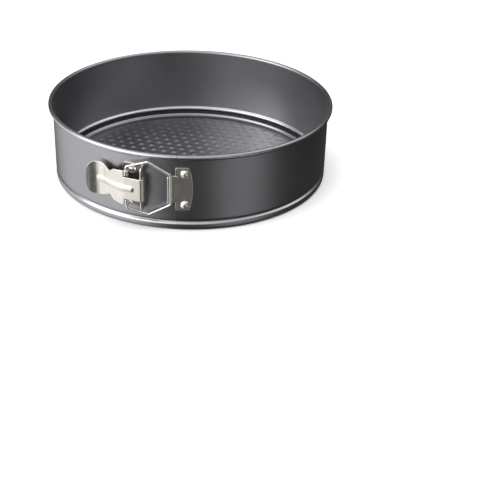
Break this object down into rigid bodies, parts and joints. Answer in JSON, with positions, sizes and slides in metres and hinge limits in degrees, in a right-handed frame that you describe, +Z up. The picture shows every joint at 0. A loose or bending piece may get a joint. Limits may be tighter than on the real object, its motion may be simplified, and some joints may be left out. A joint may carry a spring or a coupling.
{
  "type": "springform pan",
  "caption": "Round springform cake pan: non-stick side band with rolled rim, lift-out dimpled base and an over-centre lever latch with a wire loop.",
  "frame": {"origin": "on the pan's axis, in the plane that the pan stands on", "axes": "+Z up along the pan's axis; the latch is on the -Y side, with its lever pointing to -X and its catch towards +X"},
  "size_m": [0.2484, 0.2557, 0.0674],
  "materials": {
    "band_coating": "satin metallic non-stick coating, dark grey",
    "base_coating": "satin metallic non-stick coating over pressed dimples",
    "plated_steel": "bright zinc and nickel plated sheet, lightly brushed",
    "rivet_steel": "polished rivet heads",
    "loop_wire": "bright drawn wire"
  },
  "bodies": {
    "pan": {"side_band": "band_coating", "latch_bracket": "plated_steel", "bracket_rivet_upper": "rivet_steel", "bracket_rivet_lower": "rivet_steel", "catch_plate": "plated_steel", "catch_rivet_upper": "rivet_steel", "catch_rivet_lower": "rivet_steel"},
    "base": {"base_plate": "base_coating"},
    "lever": {"latch_lever": "plated_steel"},
    "loop": {"wire_loop": "loop_wire"}
  },
  "joints": [
    {"name": "lever_hinge", "type": "hinge", "parent": "pan", "child": "lever", "pos_m": [0, -0.1282, 0.0372], "axis": [0, 0, 1], "range_deg": [0, 170], "deforming": ["side_band"]},
    {"name": "loop_hinge", "type": "hinge", "parent": "lever", "child": "loop", "pos_m": [-0.0126, -0.1274, 0.0372], "axis": [0, 0, 1], "range_deg": [-194, 0]},
    {"name": "base_lift", "type": "slide", "parent": "pan", "child": "base", "axis": [0, 0, 1], "range_m": [0, 0.09]}
  ],
  "couplings": [
    {"joint": "loop_hinge", "follows": "lever_hinge", "ratio": -1.14}
  ]
}
